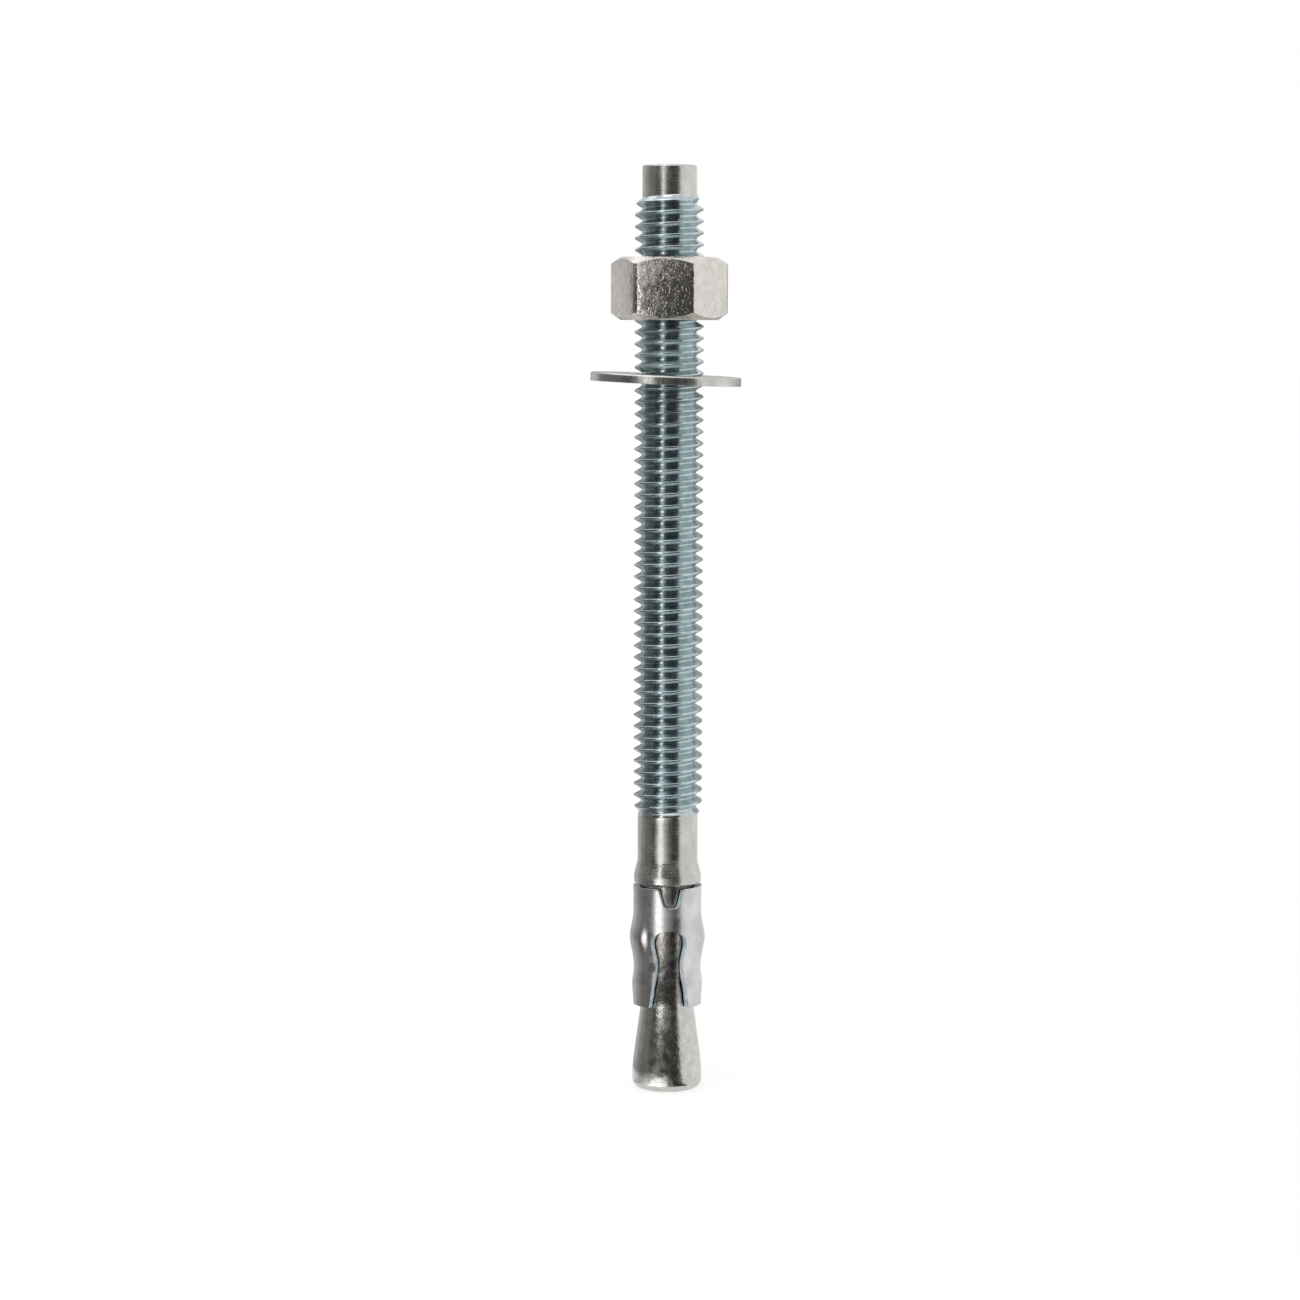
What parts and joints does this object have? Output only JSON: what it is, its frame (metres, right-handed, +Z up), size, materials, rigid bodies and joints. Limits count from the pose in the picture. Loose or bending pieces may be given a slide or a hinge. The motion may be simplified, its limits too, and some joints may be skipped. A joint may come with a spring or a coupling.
{
  "type": "wedge anchor",
  "caption": "Zinc-plated steel wedge anchor for concrete: threaded stud with cone end, expansion clip, flat washer and hex nut, standing on its cone end.",
  "frame": {"origin": "the middle of the stud's cone end, on the surface that it stands on", "axes": "+Z up along the stud towards its threaded end, -Y to the front, the side of the clip's slot"},
  "size_m": [0.0206, 0.0206, 0.127],
  "materials": {
    "stud_zinc": "bright zinc plating with a faint blue passivation, rolled and cold-formed surface",
    "clip_zinc": "bright zinc plating on rolled strip, polished by forming",
    "washer_zinc": "bright zinc plating on stamped sheet",
    "nut_zinc": "bright zinc plating on a cold-formed nut, finely pitted"
  },
  "bodies": {
    "anchor_stud": {"anchor_stud": "stud_zinc"},
    "expansion_clip": {"expansion_clip": "clip_zinc"},
    "flat_washer": {"flat_washer": "washer_zinc"},
    "hex_nut": {"hex_nut": "nut_zinc"}
  },
  "joints": [
    {"name": "washer_travel", "type": "slide", "parent": "anchor_stud", "child": "flat_washer", "axis": [0, 0, 1], "range_m": [-0.06509, 0.01238]},
    {"name": "nut_turn", "type": "hinge", "parent": "flat_washer", "child": "hex_nut", "pos_m": [0, 0, 0.0635], "axis": [0, 0, 1], "range_deg": [-14765, 2813]},
    {"name": "clip_turn", "type": "hinge", "parent": "anchor_stud", "child": "expansion_clip", "pos_m": [0, 0, 0.0635], "axis": [0, 0, 1], "continuous": true}
  ],
  "couplings": [
    {"joint": "nut_turn", "follows": "washer_travel", "rad_per_m": 3957.9}
  ]
}
